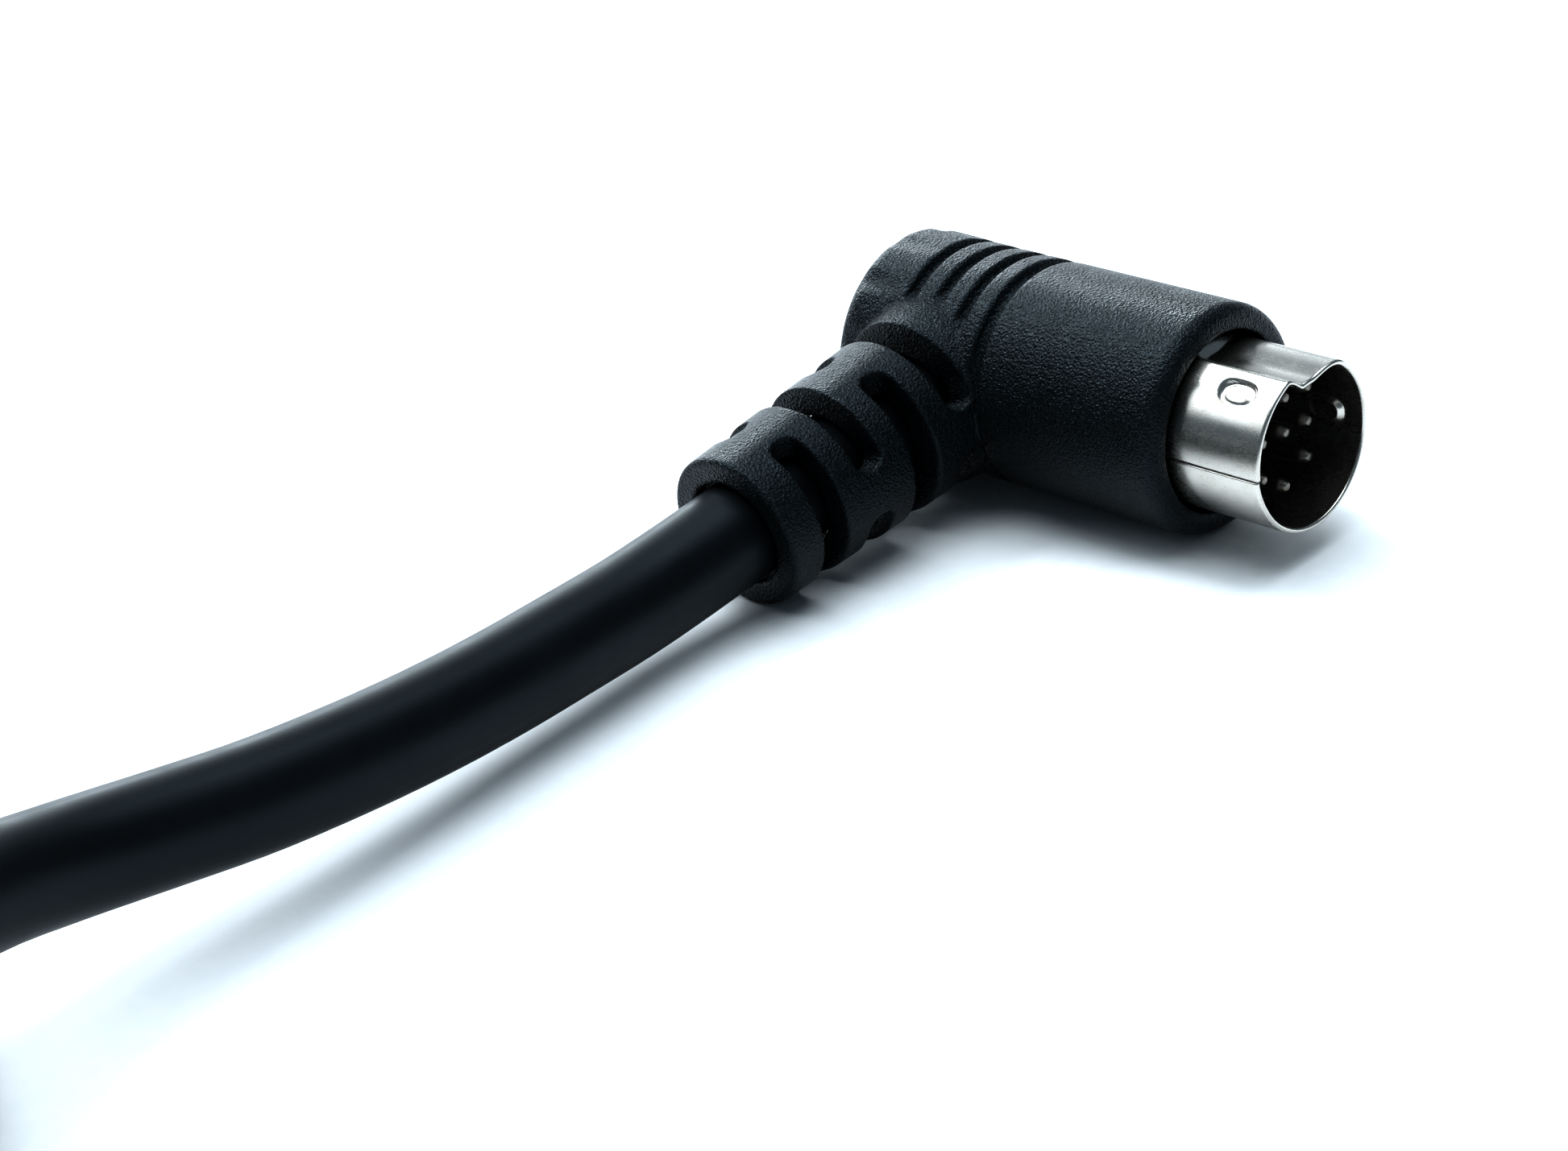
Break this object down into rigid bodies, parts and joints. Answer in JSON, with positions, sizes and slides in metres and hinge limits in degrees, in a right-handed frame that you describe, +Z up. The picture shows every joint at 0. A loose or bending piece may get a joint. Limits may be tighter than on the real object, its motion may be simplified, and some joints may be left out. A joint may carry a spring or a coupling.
{
  "type": "right-angle round multi-pin plug lead",
  "caption": "Right-angle round multi-pin plug with a pressed nickel shell, grooved moulded body and slotted strain-relief boot, on a thick black cable coiled to a matching far plug.",
  "frame": {"origin": "on the surface that the plug lies on, under the middle of the near plug's box", "axes": "+X out of the near plug's mouth along its axis, -Y along the cable where it leaves the boot, +Z up"},
  "size_m": [0.0823, 0.1547, 0.0259],
  "materials": {
    "moulded_pvc": "fine spark-eroded grain, semi-matt",
    "inner_moulding": "natural polyethylene, satin",
    "nickel_shell": "bright nickel plate with light handling marks",
    "carrier_pbt": "black glass-filled polyester, matt",
    "tinned_ferrule": "tinned, satin",
    "contact_brass": "bright plated",
    "cable_jacket": "smooth matt PVC",
    "strap_nylon": "woven nylon, matt",
    "core_brown": "extruded PVC insulation, satin",
    "core_red": "extruded PVC insulation, satin",
    "core_orange": "extruded PVC insulation, satin",
    "core_yellow": "extruded PVC insulation, satin",
    "core_green": "extruded PVC insulation, satin",
    "core_blue": "extruded PVC insulation, satin",
    "core_violet": "extruded PVC insulation, satin",
    "core_grey": "extruded PVC insulation, satin",
    "core_white": "extruded PVC insulation, satin"
  },
  "bodies": {
    "root": {"near_overmould": "moulded_pvc", "near_inner_mould": "inner_moulding", "near_shell": "nickel_shell", "near_contact_carrier": "carrier_pbt", "near_crimp_ferrule": "tinned_ferrule", "near_contact_pin_1": "contact_brass", "near_core_1": "core_brown", "near_contact_pin_2": "contact_brass", "near_core_2": "core_red", "near_contact_pin_3": "contact_brass", "near_core_3": "core_orange", "near_contact_pin_4": "contact_brass", "near_core_4": "core_yellow", "near_contact_pin_5": "contact_brass", "near_core_5": "core_green", "near_contact_pin_6": "contact_brass", "near_core_6": "core_blue", "near_contact_pin_7": "contact_brass", "near_core_7": "core_violet", "near_contact_pin_8": "contact_brass", "near_core_8": "core_grey", "near_contact_pin_9": "contact_brass", "near_core_9": "core_white", "far_overmould": "moulded_pvc", "far_inner_mould": "inner_moulding", "far_shell": "nickel_shell", "far_contact_carrier": "carrier_pbt", "far_crimp_ferrule": "tinned_ferrule", "far_contact_pin_1": "contact_brass", "far_core_1": "core_brown", "far_contact_pin_2": "contact_brass", "far_core_2": "core_red", "far_contact_pin_3": "contact_brass", "far_core_3": "core_orange", "far_contact_pin_4": "contact_brass", "far_core_4": "core_yellow", "far_contact_pin_5": "contact_brass", "far_core_5": "core_green", "far_contact_pin_6": "contact_brass", "far_core_6": "core_blue", "far_contact_pin_7": "contact_brass", "far_core_7": "core_violet", "far_contact_pin_8": "contact_brass", "far_core_8": "core_grey", "far_contact_pin_9": "contact_brass", "far_core_9": "core_white", "near_cable_lead": "cable_jacket", "cable_coil": "cable_jacket", "far_cable_lead": "cable_jacket", "coil_tie": "strap_nylon"}
  },
  "joints": []
}
